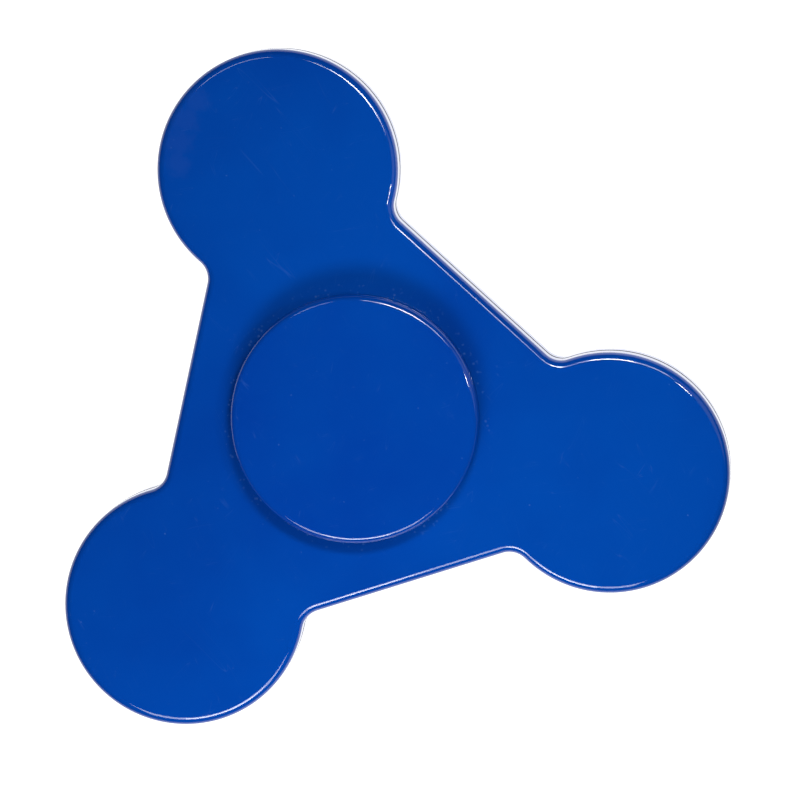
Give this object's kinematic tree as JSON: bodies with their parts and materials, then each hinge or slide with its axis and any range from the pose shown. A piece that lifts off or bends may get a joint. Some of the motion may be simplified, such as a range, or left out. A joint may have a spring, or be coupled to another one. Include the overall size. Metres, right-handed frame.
{
  "type": "fidget spinner",
  "caption": "Flat lobed fidget spinner: a closed glossy clamshell body with steel weights in its lobes turns on a shielded ball bearing between round finger caps.",
  "frame": {"origin": "centre of the lower finger cap's flat face, where the spin axis meets whatever the spinner lies on", "axes": "+Z along the spin axis towards the upper finger cap; +Y towards one lobe; +X completes the frame, across the other two lobes"},
  "size_m": [0.075, 0.0684, 0.0128],
  "materials": {
    "body_plastic": "glossy moulded ABS, royal blue, with fine handling scratches",
    "cap_plastic": "glossy moulded ABS, royal blue, same batch as the body",
    "bearing_steel": "ground and honed bearing steel",
    "ball_steel": "polished bearing balls",
    "cage_steel": "stamped steel strip",
    "shield_steel": "pressed steel sheet",
    "weight_steel": "zinc-plated steel blanks"
  },
  "bodies": {
    "hub": {"finger_cap_bottom": "cap_plastic", "finger_cap_top": "cap_plastic", "bearing_inner_ring": "bearing_steel"},
    "rotor": {"top_shell": "body_plastic", "bottom_shell": "body_plastic", "weight_1": "weight_steel", "weight_2": "weight_steel", "weight_3": "weight_steel", "bearing_outer_ring": "bearing_steel", "shield_top": "shield_steel", "shield_bottom": "shield_steel", "snap_ring_top": "shield_steel", "snap_ring_bottom": "shield_steel"},
    "cage": {"cage_upper": "cage_steel", "cage_lower": "cage_steel", "cage_rivets": "cage_steel"},
    "ball_1_body": {"ball_1": "ball_steel"},
    "ball_2_body": {"ball_2": "ball_steel"},
    "ball_3_body": {"ball_3": "ball_steel"},
    "ball_4_body": {"ball_4": "ball_steel"},
    "ball_5_body": {"ball_5": "ball_steel"},
    "ball_6_body": {"ball_6": "ball_steel"},
    "ball_7_body": {"ball_7": "ball_steel"}
  },
  "joints": [
    {"name": "rotor_spin", "type": "hinge", "parent": "hub", "child": "rotor", "pos_m": [0, 0, 0.0064], "axis": [0, 0, 1], "continuous": true},
    {"name": "cage_orbit", "type": "hinge", "parent": "hub", "child": "cage", "pos_m": [0, 0, 0.0064], "axis": [0, 0, 1], "continuous": true},
    {"name": "ball_1_roll", "type": "hinge", "parent": "cage", "child": "ball_1_body", "pos_m": [0, 0.0075, 0.0064], "axis": [0, 0, 1], "continuous": true},
    {"name": "ball_2_roll", "type": "hinge", "parent": "cage", "child": "ball_2_body", "pos_m": [-0.00586, 0.00468, 0.0064], "axis": [0, 0, 1], "continuous": true},
    {"name": "ball_3_roll", "type": "hinge", "parent": "cage", "child": "ball_3_body", "pos_m": [-0.00731, -0.00167, 0.0064], "axis": [0, 0, 1], "continuous": true},
    {"name": "ball_4_roll", "type": "hinge", "parent": "cage", "child": "ball_4_body", "pos_m": [-0.00325, -0.00676, 0.0064], "axis": [0, 0, 1], "continuous": true},
    {"name": "ball_5_roll", "type": "hinge", "parent": "cage", "child": "ball_5_body", "pos_m": [0.00325, -0.00676, 0.0064], "axis": [0, 0, 1], "continuous": true},
    {"name": "ball_6_roll", "type": "hinge", "parent": "cage", "child": "ball_6_body", "pos_m": [0.00731, -0.00167, 0.0064], "axis": [0, 0, 1], "continuous": true},
    {"name": "ball_7_roll", "type": "hinge", "parent": "cage", "child": "ball_7_body", "pos_m": [0.00586, 0.00468, 0.0064], "axis": [0, 0, 1], "continuous": true}
  ],
  "couplings": [
    {"joint": "cage_orbit", "follows": "rotor_spin", "ratio": 0.6323},
    {"joint": "ball_1_roll", "follows": "rotor_spin", "ratio": 1.7573},
    {"joint": "ball_2_roll", "follows": "rotor_spin", "ratio": 1.7573},
    {"joint": "ball_3_roll", "follows": "rotor_spin", "ratio": 1.7573},
    {"joint": "ball_4_roll", "follows": "rotor_spin", "ratio": 1.7573},
    {"joint": "ball_5_roll", "follows": "rotor_spin", "ratio": 1.7573},
    {"joint": "ball_6_roll", "follows": "rotor_spin", "ratio": 1.7573},
    {"joint": "ball_7_roll", "follows": "rotor_spin", "ratio": 1.7573}
  ]
}
